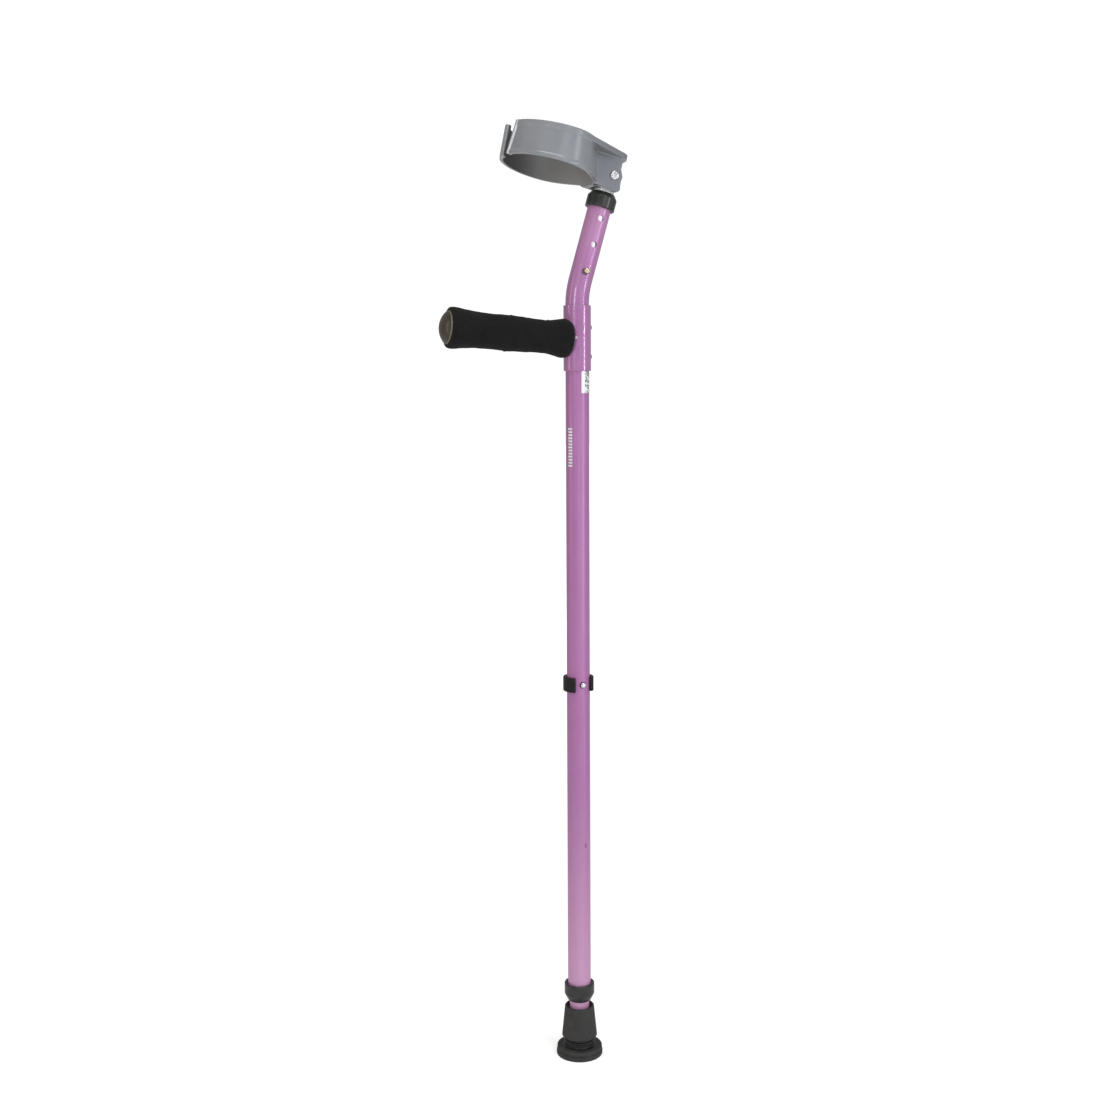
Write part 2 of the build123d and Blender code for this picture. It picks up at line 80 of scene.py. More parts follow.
def new_material(name):
    """A material with one Principled shader. Returns (material, tree, shader)."""
    material = bpy.data.materials.new(name)
    material.use_nodes = True
    tree = material.node_tree
    tree.nodes.clear()
    shader = tree.nodes.new("ShaderNodeBsdfPrincipled")
    output = tree.nodes.new("ShaderNodeOutputMaterial")
    tree.links.new(shader.outputs["BSDF"], output.inputs["Surface"])
    return material, tree, shader


def dress(tree, shader, values):
    """Sets a shader's inputs from a table of names and values."""
    for key, value in values.items():
        put(tree, shader.inputs[key], value)


def coords(tree, scale=(1, 1, 1)):
    """Row-frame position in metres, stretched by scale."""
    place = tree.nodes.new("ShaderNodeTexCoord").outputs["Object"]
    return add_node(tree, "ShaderNodeMapping", [("Vector", place), ("Scale", scale)]).outputs["Vector"]


def noise_value(tree, vector, size, detail=3.0, roughness=0.5):
    """Noise from 0 to 1 whose blobs are about size metres across."""
    inputs = [("Vector", vector), ("Scale", 1 / size), ("Detail", detail), ("Roughness", roughness)]
    return add_node(tree, "ShaderNodeTexNoise", inputs).outputs["Fac"]


def cells(tree, vector, size, output="Distance"):
    """Voronoi cells about size metres across."""
    return add_node(tree, "ShaderNodeTexVoronoi", [("Vector", vector), ("Scale", 1 / size)]).outputs[output]


def ramp(tree, value, stops):
    """Colour ramp; stops are (position, colour or grey)."""
    node = add_node(tree, "ShaderNodeValToRGB", [("Fac", value)])
    elements = node.color_ramp.elements
    while len(elements) < len(stops):
        elements.new(0.5)
    for element, (position, colour) in zip(elements, stops):
        if not isinstance(colour, tuple):
            colour = (colour, colour, colour)
        element.position = position
        element.color = (*colour, 1)
    return node.outputs["Color"]


def mix(tree, factor, low, high, blend="MIX"):
    """Mix of two colours; each may be a socket or a tuple, and factor a socket or a number."""
    inputs = [(0, factor), (6, low), (7, high)]
    return add_node(tree, "ShaderNodeMix", inputs, data_type="RGBA", blend_type=blend).outputs[2]


def math_node(tree, operation, first, second=None):
    """Result of a math node; each value is a socket or a number."""
    inputs = [(0, first)] if second is None else [(0, first), (1, second)]
    return add_node(tree, "ShaderNodeMath", inputs, operation=operation).outputs[0]


def product(tree, first, second):
    return math_node(tree, "MULTIPLY", first, second)


def vector_math(tree, operation, first, second=None):
    """Result of a vector math node; second is a socket or a vector."""
    inputs = [(0, first)] if second is None else [(0, first), (1, second)]
    node = add_node(tree, "ShaderNodeVectorMath", inputs, operation=operation)
    return node.outputs["Value" if operation in ("LENGTH", "DOT_PRODUCT") else "Vector"]


def spread(tree, value, low, high, start=0.0, end=1.0):
    """Number that goes smoothly from low to high as value goes from start to end."""
    inputs = [("Value", value), ("From Min", start), ("From Max", end), ("To Min", low), ("To Max", high)]
    return add_node(tree, "ShaderNodeMapRange", inputs, interpolation_type="SMOOTHSTEP").outputs["Result"]


def bump(tree, height, depth, below=None):
    """Bump of depth metres on top of another bump."""
    inputs = [("Height", height), ("Distance", depth)]
    if below is not None:
        inputs.append(("Normal", below))
    return add_node(tree, "ShaderNodeBump", inputs).outputs["Normal"]


def split(tree, vector):
    """The x, y and z of a vector."""
    return add_node(tree, "ShaderNodeSeparateXYZ", [(0, vector)]).outputs


def from_upright(tree, place):
    """Distance from the z axis."""
    x, y = split(tree, place)[:2]
    return math_node(tree, "POWER", math_node(tree, "ADD", math_node(tree, "POWER", x, 2.0),
                                              math_node(tree, "POWER", y, 2.0)), 0.5)


def spot(tree, place, centre, size):
    """1 inside an oval spot, 0 outside, with a soft edge; size is its half lengths in metres."""
    scale = [1 / length for length in size]
    shift = [-at / length for at, length in zip(centre, size)]
    mapped = add_node(tree, "ShaderNodeMapping", [("Vector", place), ("Scale", scale), ("Location", shift)])
    return spread(tree, vector_math(tree, "LENGTH", mapped.outputs["Vector"]), 1.0, 0.0, 0.75, 1.15)


# ---------------------------------------------------------------- materials
# lilac enamel: its tints, among them paler tints that are painted light at the foot and the top, and the heights in
# metres between which they and the coat change
PURPLE = (0.455, 0.192, 0.432)
DEEP_PURPLE = (0.445, 0.175, 0.405)
FOOT_PAINTED_LIGHT = (0.68, 0.375, 0.60)
TOP_PAINTED_LIGHT = (0.57, 0.272, 0.505)
STREAK, WARM_STREAK = (0.58, 0.40, 0.62), (0.50, 0.16, 0.38)
FOOT_PAINTED_LIGHT_HEIGHTS, TOP_PAINTED_LIGHT_HEIGHTS = (0.05, 0.29), (0.74, 0.80)
GLOSS_BEGINS, GLOSS_ENDS = (0.70, 0.72), (0.750, 0.775)
BEND_COAT, BEND_COAT_ROUGHNESS = 0.8, 0.07
FLAKE_SIZE, STREAK_SIZE, WARM_SIZE, PEEL_SIZE = 0.00045, 0.0035, 0.009, 0.0030
PEEL_DEPTH = 0.000008
# small marks in the paint, some of them painted light or shade: centre, half lengths, tint and strength
SCUFF = ((0.0026, -0.0108, 0.210), (0.0009, 0.002, 0.0030), (0.16, 0.06, 0.17), 0.75)
# painted shade round the snap button's hole
BUTTON_HOLE_SHADE = ((0.0043, -0.0108, 0.7562), (0.0040, 0.004, 0.0036), (0.07, 0.03, 0.07), 0.85)
# a painted glint on the saddle
GLINT = ((-0.00568, -0.01164, 0.6953), (0.0011, 0.0011, 0.0012), (0.95, 0.88, 0.95), 0.9)


def enamel(name, roughness=0.34, coat=0.22, coat_roughness=0.20, marks=()):
    """Lilac enamel: fine flake, drawn streaks, painted light that makes it paler towards the foot and the top, small
    marks among them painted shade and a painted glint, and a clear coat that is glossier at the tube's bend."""
    material, tree, shader = new_material(name)
    place = coords(tree)
    height = split(tree, place)[2]
    clouds = noise_value(tree, place, 0.05, 3)
    flakes = split(tree, cells(tree, place, FLAKE_SIZE, output="Color"))[0]
    colour = mix(tree, spread(tree, clouds, 0.0, 1.0, 0.3, 0.7), DEEP_PURPLE, PURPLE)
    # painted light: the tint turns paler towards the foot and above the bend
    colour = mix(tree, spread(tree, height, 0.9, 0.0, *FOOT_PAINTED_LIGHT_HEIGHTS), colour, FOOT_PAINTED_LIGHT)
    colour = mix(tree, spread(tree, height, 0.0, 0.8, *TOP_PAINTED_LIGHT_HEIGHTS), colour, TOP_PAINTED_LIGHT)
    colour = mix(tree, 1.0, colour, ramp(tree, flakes, [(0.0, 0.93), (0.75, 1.0), (1.0, 1.07)]), "MULTIPLY")
    streaks = noise_value(tree, coords(tree, (1, 1, 0.02)), STREAK_SIZE, 3)
    colour = mix(tree, spread(tree, streaks, 0.0, 0.16, 0.5, 0.75), colour, STREAK)
    warm = noise_value(tree, coords(tree, (1, 1, 0.05)), WARM_SIZE, 2)
    colour = mix(tree, spread(tree, warm, 0.0, 0.22, 0.48, 0.75), colour, WARM_STREAK)
    # the marks from the caller: a scuff, painted shade round a hole, a painted glint
    for centre, size, tint, strength in marks:
        colour = mix(tree, product(tree, spot(tree, place, centre, size), strength), colour, tint)
    dress(tree, shader, {
        "Base Color": colour,
        "Metallic": 0.15,
        "Roughness": spread(tree, clouds, roughness - 0.04, roughness + 0.05, 0.3, 0.7),
        "Coat Weight": coat,
        "Coat Roughness": coat_roughness,
        "Normal": bump(tree, noise_value(tree, place, PEEL_SIZE, 2), PEEL_DEPTH),
    })
    if coat < BEND_COAT:
        bend = product(tree, spread(tree, height, 1.0, 0.0, *GLOSS_ENDS),
                       spread(tree, height, 0.0, 1.0, *GLOSS_BEGINS))
        dress(tree, shader, {
            "Coat Weight": spread(tree, bend, coat, BEND_COAT),
            "Coat Roughness": spread(tree, bend, coat_roughness, BEND_COAT_ROUGHNESS),
        })
    return material


# the ferrule's neck, moulded smooth and darkened with painted shade: within this distance from the axis and below
# this height, in metres
NECK_RADIUS, NECK_TOP = (0.0160, 0.0172), (0.0175, 0.0188)
RUBBER_TINTS = [(0.3, (0.024, 0.024, 0.023)), (0.55, (0.038, 0.038, 0.036)), (0.8, (0.058, 0.057, 0.054))]
RUBBER_DUST, NECK_PAINTED_SHADE = (0.085, 0.083, 0.078), (0.012, 0.012, 0.012)
NECK_POLISH = 0.38


def rubber(name):
    """Moulded rubber with a dusty, slightly worn surface and a smooth neck above the sole, darkened with painted
    shade.
    """
    material, tree, shader = new_material(name)
    place = coords(tree)
    clouds = noise_value(tree, place, 0.009, 5, 0.6)
    grains = noise_value(tree, place, 0.0007, 3, 0.6)
    colour = mix(tree, spread(tree, grains, 0.0, 0.28, 0.4, 0.8), ramp(tree, clouds, RUBBER_TINTS), RUBBER_DUST)
    neck = product(tree, spread(tree, from_upright(tree, place), 1.0, 0.0, *NECK_RADIUS),
                   spread(tree, split(tree, place)[2], 1.0, 0.0, *NECK_TOP))
    dusty = spread(tree, clouds, 0.58, 0.75, 0.3, 0.7)
    relief = product(tree, grains, math_node(tree, "SUBTRACT", 1.0, neck))
    # the neck's dark colour is painted shade; its smoothness is real
    dress(tree, shader, {
        "Base Color": mix(tree, neck, colour, NECK_PAINTED_SHADE),
        "Roughness": math_node(tree, "SUBTRACT", dusty, product(tree, neck, NECK_POLISH)),
        "Specular IOR Level": 0.4,
        "Normal": bump(tree, relief, 0.00008),
    })
    return material


def moulded(name, base, light, roughness, coat=0.0, shine=0.5):
    """Injection-moulded plastic with a fine spark-eroded grain and slight flow clouds."""
    material, tree, shader = new_material(name)
    place = coords(tree)
    clouds = noise_value(tree, place, 0.012, 4, 0.55)
    grains = noise_value(tree, place, 0.0005, 2, 0.6)
    dress(tree, shader, {
        "Base Color": mix(tree, spread(tree, clouds, 0.0, 1.0, 0.3, 0.75), base, light),
        "Roughness": spread(tree, clouds, roughness - 0.05, roughness + 0.07, 0.3, 0.7),
        "Specular IOR Level": shine,
        "Coat Weight": coat,
        "Coat Roughness": 0.15,
        "Normal": bump(tree, grains, 0.00003),
    })
    return material


# places on the cuff, in metres along x unless said otherwise
INNER_SIDE = (-0.012, 0.004)            # outward distance times normal, below which a face is on the inside
# painted shade: the rear gets darker along x, and the inside is painted darkest at the front and lighter towards the
# rear
REAR_PAINTED_SHADE_SPAN, INNER_PAINTED_SHADE_SPAN = (-0.012, 0.030), (-0.050, 0.022)
MOUTH_ENDS = (-0.052, -0.048)
LIP_Z, LIP_SLOPE = 0.862, 0.214         # the mouth widens by this slope above this height
# the mouth's lips, and the painted highlight along them: where it runs across, its tint and strength
LIP_OUTSIDE, LIP_HIGHLIGHT_BAND = (0.0117, 0.0123), (0.0101, 0.0106)      # across, along y
LIP_PAINTED_HIGHLIGHT, LIP_HIGHLIGHT_STRENGTH = (0.86, 0.90, 0.98), 0.8
EDGE_FACES = (0.15, 0.40)               # how far a face turns up or down
SATIN_COAT, SATIN_ROUGHNESS, POLISHED_ROUGHNESS = 0.08, 0.28, 0.08


def cuff_plastic(name, outer, light, rear_painted_shade, inner_front_painted_shade, inner_rear_painted_shade):
    """Satin grey plastic, with painted shade at the rear and a darker, slightly olive painted shade inside, where it
    is also duller. The edges and the mouth's lips are polished, and a painted highlight runs along the lips."""
    material, tree, shader = new_material(name)
    place = coords(tree)
    clouds = noise_value(tree, place, 0.030, 4, 0.55)
    grains = noise_value(tree, place, 0.0005, 2, 0.6)
    normal = tree.nodes.new("ShaderNodeTexCoord").outputs["Normal"]
    outward = vector_math(tree, "SUBTRACT", place, CUFF_CENTRE)
    inside = spread(tree, vector_math(tree, "DOT_PRODUCT", outward, normal), 1.0, 0.0, *INNER_SIDE)
    x, y, z = split(tree, place)
    colour = mix(tree, spread(tree, clouds, 0.0, 1.0, 0.3, 0.75), outer, light)
    # painted shade towards the rear
    colour = mix(tree, spread(tree, x, 0.0, 1.0, *REAR_PAINTED_SHADE_SPAN), colour, rear_painted_shade)
    widening = product(tree, math_node(tree, "SUBTRACT", z, LIP_Z), LIP_SLOPE)
    across = math_node(tree, "SUBTRACT", math_node(tree, "ABSOLUTE", y), widening)
    mouth = product(tree, spread(tree, x, 1.0, 0.0, *MOUTH_ENDS), spread(tree, across, 1.0, 0.0, *LIP_OUTSIDE))
    # a painted highlight along the lips of the mouth
    line = product(tree, mouth, spread(tree, across, 0.0, 1.0, *LIP_HIGHLIGHT_BAND))
    colour = mix(tree, product(tree, line, LIP_HIGHLIGHT_STRENGTH), colour, LIP_PAINTED_HIGHLIGHT)
    # painted shade inside, darkest at the front and lighter towards the rear
    inner = mix(tree, spread(tree, x, 0.0, 1.0, *INNER_PAINTED_SHADE_SPAN), inner_front_painted_shade, inner_rear_painted_shade)
    satin = spread(tree, clouds, 0.27, 0.36, 0.3, 0.7)
    edge = spread(tree, math_node(tree, "ABSOLUTE", split(tree, normal)[2]), 0.0, 1.0, *EDGE_FACES)
    polish = math_node(tree, "MAXIMUM", mouth, edge)
    dress(tree, shader, {
        "Base Color": mix(tree, inside, colour, inner),
        "Roughness": math_node(tree, "ADD", satin, product(tree, inside, 0.25)),
        "Coat Weight": product(tree, spread(tree, inside, 1.0, 0.0), spread(tree, polish, SATIN_COAT, 1.0)),
        "Coat IOR": 2.0,
        "Coat Roughness": spread(tree, polish, SATIN_ROUGHNESS, POLISHED_ROUGHNESS),
        "Normal": bump(tree, grains, 0.00002),
    })
    return material


# distance from the handle's axis at which the painted highlight on the cap's rim begins
CAP_RIM_HIGHLIGHT = (0.0149, 0.0152)      # distance from the handle's axis at which the cap's pale rim begins


def cap_plastic(name, middle, edge, rim_highlight):
    """Glossy dark olive plastic with a painted highlight round its rim."""
    material, tree, shader = new_material(name)
    place = coords(tree)
    clouds = noise_value(tree, place, 0.008, 3)
    offset = vector_math(tree, "SUBTRACT", place, (0, 0, HANDLE_Z))
    from_handle = vector_math(tree, "LENGTH", vector_math(tree, "CROSS_PRODUCT", offset, HANDLE_OUT))
    colour = mix(tree, spread(tree, clouds, 0.0, 1.0, 0.3, 0.7), middle, edge)
    dress(tree, shader, {
        "Base Color": mix(tree, spread(tree, from_handle, 0.0, 1.0, *CAP_RIM_HIGHLIGHT), colour, rim_highlight),
        "Roughness": spread(tree, clouds, 0.34, 0.42),
        "Coat Weight": 0.3,
        "Coat Roughness": 0.20,
        "Normal": bump(tree, clouds, 0.00005),
    })
    return material


def metal(name, colour, roughness):
    """Bare metal with drawing marks along the upright."""
    material, tree, shader = new_material(name)
    lines = noise_value(tree, coords(tree, (1, 1, 0.03)), 0.0006, 3, 0.6)
    clouds = noise_value(tree, coords(tree), 0.006, 4)
    dull = tuple(0.72 * channel for channel in colour)
    shade = mix(tree, spread(tree, clouds, 0.0, 1.0, 0.35, 0.75), colour, dull)
    dress(tree, shader, {
        "Base Color": mix(tree, spread(tree, lines, 0.0, 0.35, 0.45, 0.8), shade, dull),
        "Metallic": 1.0,
        "Roughness": spread(tree, lines, roughness - 0.05, roughness + 0.12, 0.3, 0.7),
        "Normal": bump(tree, lines, 0.00001),
    })
    return material


FOAM_TINTS = [(0.3, (0.006, 0.006, 0.0065)), (0.6, (0.009, 0.0088, 0.0092)), (0.85, (0.016, 0.0135, 0.012))]
# painted shade in the pores' centres, and the sheen's tint
PORE_PAINTED_SHADE, FOAM_SHEEN = (0.004, 0.004, 0.004), (0.75, 0.60, 0.50)


def foam(name):
    """Closed-cell foam: tiny pores, their centres darkened with painted shade, a soft sheen and a slightly brown
    bloom.
    """
    material, tree, shader = new_material(name)
    place = coords(tree)
    pores = cells(tree, place, 0.0006)
    clouds = noise_value(tree, place, 0.010, 5, 0.6)
    colour = ramp(tree, clouds, FOAM_TINTS)
    dress(tree, shader, {
        "Base Color": mix(tree, spread(tree, pores, 0.55, 0.0, 0.0, 0.35), colour, PORE_PAINTED_SHADE),
        "Roughness": 0.92,
        "Specular IOR Level": 0.25,
        "Sheen Weight": 0.08,
        "Sheen Roughness": 0.45,
        "Sheen Tint": FOAM_SHEEN,
        "Normal": bump(tree, pores, 0.00012, bump(tree, clouds, 0.0003)),
    })
    return material


INK_FROM, INK_TO = 0.0034, 0.0099       # the printed part of the label, along x
INK_ROWS = (0.47, 0.50)
PAPER, PALE_PAPER, INK = (0.96, 0.94, 0.96), (0.99, 0.98, 0.99), (0.22, 0.26, 0.24)


def label_film(name):
    """White label film with plain grey blocks on one side."""
    material, tree, shader = new_material(name)
    place = coords(tree)
    x = split(tree, place)[0]
    printed = product(tree, math_node(tree, "GREATER_THAN", x, INK_FROM), math_node(tree, "LESS_THAN", x, INK_TO))
    rows = noise_value(tree, coords(tree, (0.6, 0.6, 1)), 0.0019, 1, 0.5)
    ink = product(tree, printed, spread(tree, rows, 0.0, 1.0, *INK_ROWS))
    paper = mix(tree, spread(tree, noise_value(tree, place, 0.004), 0.0, 1.0), PAPER, PALE_PAPER)
    dress(tree, shader, {
        "Base Color": mix(tree, product(tree, ink, 0.95), paper, INK),
        "Roughness": 0.35,
        "Coat Weight": 0.8,
        "Coat Roughness": 0.12,
        "Normal": bump(tree, noise_value(tree, place, 0.0012), 0.00001),
    })
    return material


materials = {
    "purple_enamel": enamel("purple_enamel_paint", marks=(SCUFF, BUTTON_HOLE_SHADE)),
    "ferrule_rubber": rubber("ferrule_black_rubber"),
    "galvanised_steel": metal("washer_zinc", (0.55, 0.55, 0.55), 0.45),
    "black_nylon": moulded("collar_black_nylon", (0.013, 0.014, 0.013), (0.026, 0.027, 0.025), 0.34, coat=0.25),
    "clip_plastic": moulded("clip_black_plastic", (0.009, 0.0088, 0.008), (0.016, 0.015, 0.014), 0.45, shine=0.25),
    "bright_steel": metal("screw_bright_zinc", (0.84, 0.84, 0.87), 0.22),
    "rivet_aluminium": metal("rivet_plain_aluminium", (0.72, 0.72, 0.72), 0.35),
    "foam_grip": foam("grip_black_foam"),
    "print_white": moulded("print_white_ink", (0.78, 0.78, 0.78), (0.86, 0.86, 0.86), 0.5),
    # the last colour is a painted highlight on the rim
    "end_cap_plastic": cap_plastic("end_cap_olive_plastic",
                                   (0.028, 0.019, 0.008), (0.042, 0.030, 0.014), (0.20, 0.19, 0.125)),
    "label_paper": label_film("label_white_film"),
    "anodised_aluminium": metal("post_satin_anodised", (0.97, 0.975, 0.985), 0.42),
    "spring_steel": metal("leaf_blued_steel", (0.30, 0.30, 0.32), 0.4),
    "button_brass": metal("button_polished_brass", (0.88, 0.76, 0.52), 0.25),
    # the last three colours are painted shade: at the rear, and inside at the front and the rear
    "cuff_plastic": cuff_plastic("cuff_grey_plastic",
                                 (0.250, 0.264, 0.286), (0.280, 0.293, 0.313), (0.200, 0.212, 0.234),
                                 (0.058, 0.058, 0.056), (0.275, 0.275, 0.267)),
}
for entry in frame["record"]["subparts"]:
    data = nodes[entry["node"]].data
    data.materials.clear()
    data.materials.append(materials[entry["material_slot"]])
# the saddle round the upright has the same paint, glossier, with a painted glint
nodes["handle_sleeve"].data.materials[0] = enamel("saddle_enamel_paint", 0.28, 1.0, 0.07, marks=(GLINT,))


# ---------------------------------------------------------------- pieces
def add_piece(name, mesh, body, slot_name, *replaced, finish=None, smooth=True):
    """Adds a mesh as a piece that rides on a body, if one is given, and may stand for CAD nodes."""
    piece = bpy.data.objects.new(name, mesh)
    bpy.context.scene.collection.objects.link(piece)
    mesh.materials.clear()
    mesh.materials.append(materials[finish or slot_name])
    for face in mesh.polygons:
        face.use_smooth = smooth
    if body:
        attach(piece, body)
    if replaced:
        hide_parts(*replaced)
    return piece


def strip(shape, low, high, closed=True):
    """Quads between two rows of vertices; closed joins the rows' ends too."""
    count = len(low)
    for k in range(count if closed else count - 1):
        other = (k + 1) % count
        shape.faces.new((low[k], low[other], high[other], high[k]))


def finished_mesh(shape, name):
    """Mesh from a bmesh, with its faces turned outward."""
    bmesh.ops.recalc_face_normals(shape, faces=shape.faces)
    mesh = bpy.data.meshes.new(name)
    shape.to_mesh(mesh)
    shape.free()
    return mesh


def softened(node, name, body, slot_name, voxel, rounds):
    """The node's own shape, remeshed and smoothed so that its moulded edges are rounded."""
    mesh = nodes[node].data.copy()
    shape = bmesh.new()
    shape.from_mesh(mesh)
    bmesh.ops.remove_doubles(shape, verts=shape.verts, dist=1e-6)
    shape.to_mesh(mesh)
    shape.free()
    work = bpy.data.objects.new(name + "_work", mesh)
    bpy.context.scene.collection.objects.link(work)
    remesh = work.modifiers.new("remesh", "REMESH")
    remesh.mode = "VOXEL"
    remesh.voxel_size = voxel
    smooth = work.modifiers.new("smooth", "SMOOTH")
    smooth.factor = 0.5
    smooth.iterations = rounds
    result = bpy.data.meshes.new_from_object(work.evaluated_get(bpy.context.evaluated_depsgraph_get()))
    bpy.data.objects.remove(work)
    bpy.data.meshes.remove(mesh)
    result.name = name
    return add_piece(name, result, body, slot_name, node)


# the moulded cuff, with rounded rims and corners
CUFF_VOXEL, CUFF_ROUNDS = 0.0005, 6
softened("arm_cuff", "cuff_shell", "cuff", "cuff_plastic", CUFF_VOXEL, CUFF_ROUNDS)

# foam sleeve of the hand grip: ribbed, slightly uneven, and saddled over the upright
SADDLE_RADIUS, BAR_RADIUS = 0.01305, 0.0097     # in metres
# the rest is in millimetres; the outline is (distance along the bar, radius)
GRIP_OUTLINE = [(8.5, 15.4), (10.4, 17.5), (15.5, 18.4), (20.0, 17.6), (25.5, 16.4), (30.0, 15.75), (33.0, 15.55),
                (46.0, 15.8), (56.0, 16.3), (68.0, 16.75), (78.0, 16.6), (88.0, 16.4), (97.0, 16.6), (104.0, 17.0),
                (113.0, 18.0), (119.0, 18.8), (123.8, 19.1), (126.3, 18.4), (127.2, 16.5)]
NEAR_FACE, FAR_FACE = (12.5, 14.6), (14.2,)     # radii of the rings on the sleeve's end faces
GRIP_TURNS, GRIP_STEPS = 128, 520
NEAR_FADE, FAR_FADE = 5, 3                      # lengths over which the relief fades at the ends
RIB_PITCH, RIB_HEIGHT, RIB_DRIFT = 1.15, 0.10, 0.4
LUMP_HEIGHT, FINE_HEIGHT, RELIEF_SINK = 0.28, 0.10, 0.15
# creases pushed up in the foam: place, height, width, side (1 above, -1 below), turn and sharpness
CREASES = ((31.0, 0.5, 0.9, 1, 0.3, 2), (67.5, 0.55, 0.9, 1, 0.3, 2), (71.0, 0.6, 1.1, -1, 0.1, 4))


def grip_radius(along):
    """Outline radius at a distance along the bar, by smooth interpolation."""
    points = GRIP_OUTLINE
    for k in range(len(points) - 1):
        if along <= points[k + 1][0]:
            break
    before, start, end, after = points[max(k - 1, 0)], points[k], points[k + 1], points[min(k + 2, len(points) - 1)]
    span = end[0] - start[0]
    slope_start = (end[1] - before[1]) / (end[0] - before[0]) * span
    slope_end = (after[1] - start[1]) / (after[0] - start[0]) * span
    t = (along - start[0]) / span
    return ((2 * t**3 - 3 * t**2 + 1) * start[1] + (t**3 - 2 * t**2 + t) * slope_start
            + (-2 * t**3 + 3 * t**2) * end[1] + (t**3 - t**2) * slope_end)


def foam_radius(along, angle, fade):
    """Radius with the ribs, lumps and creases, which fade towards the sleeve's ends."""
    around = math.cos(angle), math.sin(angle)
    drift = RIB_DRIFT * noise.noise(Vector((along * 0.07, *around)))
    rib = math.cos(2 * math.pi * (along + drift) / RIB_PITCH)
    lump = noise.noise(Vector((along * 0.16, 1.6 * around[0], 1.6 * around[1])))
    fine = noise.noise(Vector((along * 0.9, 9 * around[0], 9 * around[1])))
    radius = grip_radius(along) + fade * (RIB_HEIGHT * rib + LUMP_HEIGHT * lump + FINE_HEIGHT * fine - RELIEF_SINK)
    for place, height, width, side, turn, sharpness in CREASES:
        crest = max(0, side * math.cos(angle + turn)) ** sharpness
        radius += fade * height * math.exp(-((along - place) / width) ** 2) * crest
    return radius


def make_grip():
    """The foam sleeve: rings round the handle's axis, pushed out of the upright's saddle."""
    shape = bmesh.new()
    first, last = GRIP_OUTLINE[0][0], GRIP_OUTLINE[-1][0]
    outline = [(first, radius) for radius in (BAR_RADIUS / MM, *NEAR_FACE)]
    outline += [(first + (last - first) * k / GRIP_STEPS, None) for k in range(GRIP_STEPS + 1)]
    outline += [(last, radius) for radius in (*FAR_FACE, BAR_RADIUS / MM)]
    rings = []
    for along, radius in outline:
        fade = min(1.0, (along - first) / NEAR_FADE, (last - along) / FAR_FADE)
        ring = []
        for turn in range(GRIP_TURNS):
            angle = 2 * math.pi * turn / GRIP_TURNS
            r = foam_radius(along, angle, fade) if radius is None else radius
            side = Vector((0, math.sin(angle), 0)) + HANDLE_UP * math.cos(angle)
            point = Vector((0, 0, HANDLE_Z)) + HANDLE_OUT * along * MM + side * r * MM
            room = SADDLE_RADIUS**2 - point.y**2
            if room > 0 and point.x > -math.sqrt(room):
                point += HANDLE_OUT * ((point.x + math.sqrt(room)) / math.cos(HANDLE_RISE))
            ring.append(shape.verts.new(point))
        rings.append(ring)
    for low, high in zip(rings, rings[1:] + rings[:1]):
        strip(shape, low, high)
    return finished_mesh(shape, "grip_foam")


grip = add_piece("grip_foam", make_grip(), "frame", "foam_grip", "hand_grip")

# leaf spring inside the cuff's post, with one leg behind the snap button
POST_START = Vector((0, 0, 0.7373))
POST_UP = Vector((0.280667, 0, 0.959805))
POST_REAR = Vector((0.959805, 0, -0.280667))
ACROSS = Vector((0, 1, 0))
# millimetres: the legs' distance from the post's axis, and along the post the bend and the legs' ends
LEAF_SIDE, LEAF_BEND = 6.35, 49.0
NEAR_END, FAR_END = 15.5, 17.5
LEAF_HALF, LEAF_HALF_WIDTH, LEAF_EDGE = 0.25, 3.0, 0.06
LEAF_STEPS = 28


def make_leaf():
    """Hairpin strip with chamfered edges: up one side of the post, round the bend, down the other."""
    line = [(NEAR_END + (LEAF_BEND - NEAR_END) * k / LEAF_STEPS, LEAF_SIDE, 0.0) for k in range(LEAF_STEPS)]
    for k in range(LEAF_STEPS):
        turn = math.pi * k / LEAF_STEPS
        line.append((LEAF_BEND + LEAF_SIDE * math.sin(turn), LEAF_SIDE * math.cos(turn), turn))
    line += [(LEAF_BEND + (FAR_END - LEAF_BEND) * k / LEAF_STEPS, -LEAF_SIDE, math.pi)
             for k in range(LEAF_STEPS + 1)]
    thin, wide = LEAF_HALF - LEAF_EDGE, LEAF_HALF_WIDTH - LEAF_EDGE
    section = [(thin, -LEAF_HALF_WIDTH), (LEAF_HALF, -wide), (LEAF_HALF, wide), (thin, LEAF_HALF_WIDTH),
               (-thin, LEAF_HALF_WIDTH), (-LEAF_HALF, wide), (-LEAF_HALF, -wide), (-thin, -LEAF_HALF_WIDTH)]
    shape = bmesh.new()
    rings = []
    for along, across, turn in line:
        outward = POST_UP * math.sin(turn) - ACROSS * math.cos(turn)
        middle = POST_START + (POST_UP * along - ACROSS * across) * MM
        rings.append([shape.verts.new(middle + (outward * depth + POST_REAR * width) * MM)
                      for depth, width in section])
    for low, high in zip(rings, rings[1:]):
        strip(shape, low, high)
    shape.faces.new(rings[0])
    shape.faces.new(rings[-1])
    return finished_mesh(shape, "spring_leaf")


leaf = add_piece("spring_leaf", make_leaf(), None, "spring_steel", "button_spring", smooth=False)
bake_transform(leaf)

# plain white bars printed on the upright, in place of any lettering; every third one is longer
TUBE_RADIUS = 0.0111125
BARS_LOW, BARS_HIGH, BAR_COUNT = 0.5755, 0.6100, 13
BAR_FROM, BAR_TO, BAR_EXTRA = math.radians(-162), math.radians(-139), 0.06
BAR_SHARE = 0.30                # half a bar's height, as a share of the pitch
BAR_THICKNESS, BAR_SINK = 0.00004, 0.0001
BAR_STEPS = 8


